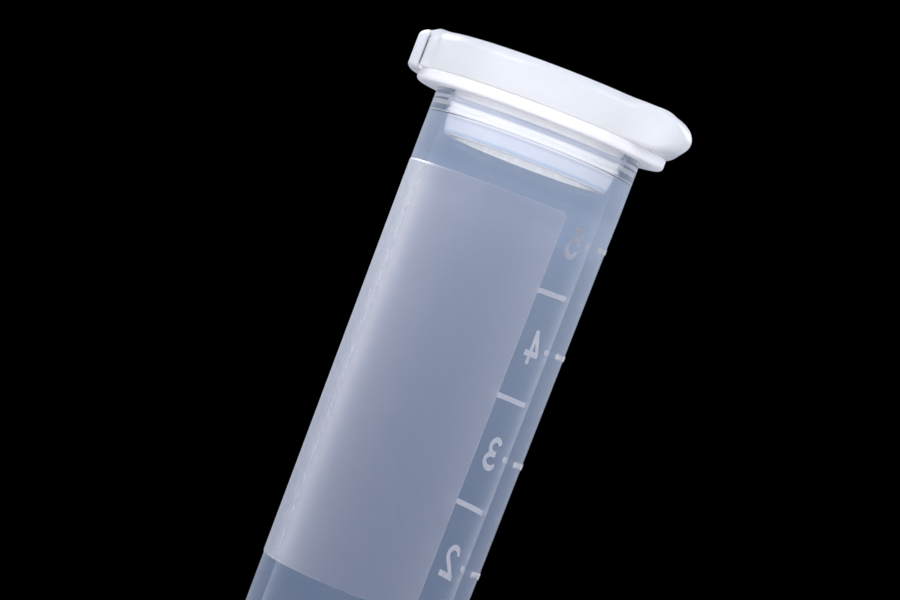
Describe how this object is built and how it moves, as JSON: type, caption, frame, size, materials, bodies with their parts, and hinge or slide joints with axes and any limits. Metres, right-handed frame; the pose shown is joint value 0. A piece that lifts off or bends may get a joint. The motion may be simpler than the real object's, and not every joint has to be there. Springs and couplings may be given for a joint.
{
  "type": "snap-cap centrifuge tube",
  "caption": "Conical plastic sample tube with a collar, a hinged snap lid with a thumb tab and sealing plug, a frosted writing panel and raised volume marks.",
  "frame": {"origin": "on the tube's axis, in the plane of the collar's underside, at the top of the neck cylinder", "axes": "+Z along the tube, from the tip towards the lid; +X from the axis towards the thumb tab; -X towards the hinge strap"},
  "size_m": [0.0201, 0.0182, 0.0608],
  "materials": {
    "clear_plastic": "clear, slightly hazy moulded polypropylene",
    "milky_plastic": "milky, glossy moulded polypropylene",
    "frosted_plastic": "frosted, fine-grained moulded polypropylene"
  },
  "bodies": {
    "tube": {"tube_body": "clear_plastic", "collar": "milky_plastic", "sealing_land": "clear_plastic", "writing_panel": "frosted_plastic", "millilitre_lines": "frosted_plastic", "half_lines": "frosted_plastic", "numeral_5": "frosted_plastic", "numeral_4": "frosted_plastic", "numeral_3": "frosted_plastic", "numeral_2": "frosted_plastic", "numeral_1": "frosted_plastic", "collar_web": "milky_plastic"},
    "strap": {"hinge_strap": "milky_plastic"},
    "lid": {"lid_web": "milky_plastic", "lid_disc": "milky_plastic", "thumb_tab": "milky_plastic", "sealing_plug": "milky_plastic", "seal_bead": "milky_plastic", "plug_nose": "milky_plastic"}
  },
  "joints": [
    {"name": "strap_fold", "type": "hinge", "parent": "tube", "child": "strap", "pos_m": [-0.00962, 0, 0.00093], "axis": [0, -1, 0], "range_deg": [0, 90]},
    {"name": "lid_fold", "type": "hinge", "parent": "strap", "child": "lid", "pos_m": [-0.00962, 0, 0.0029], "axis": [0, -1, 0], "range_deg": [0, 90]}
  ],
  "couplings": [
    {"joint": "lid_fold", "follows": "strap_fold", "ratio": 1}
  ]
}
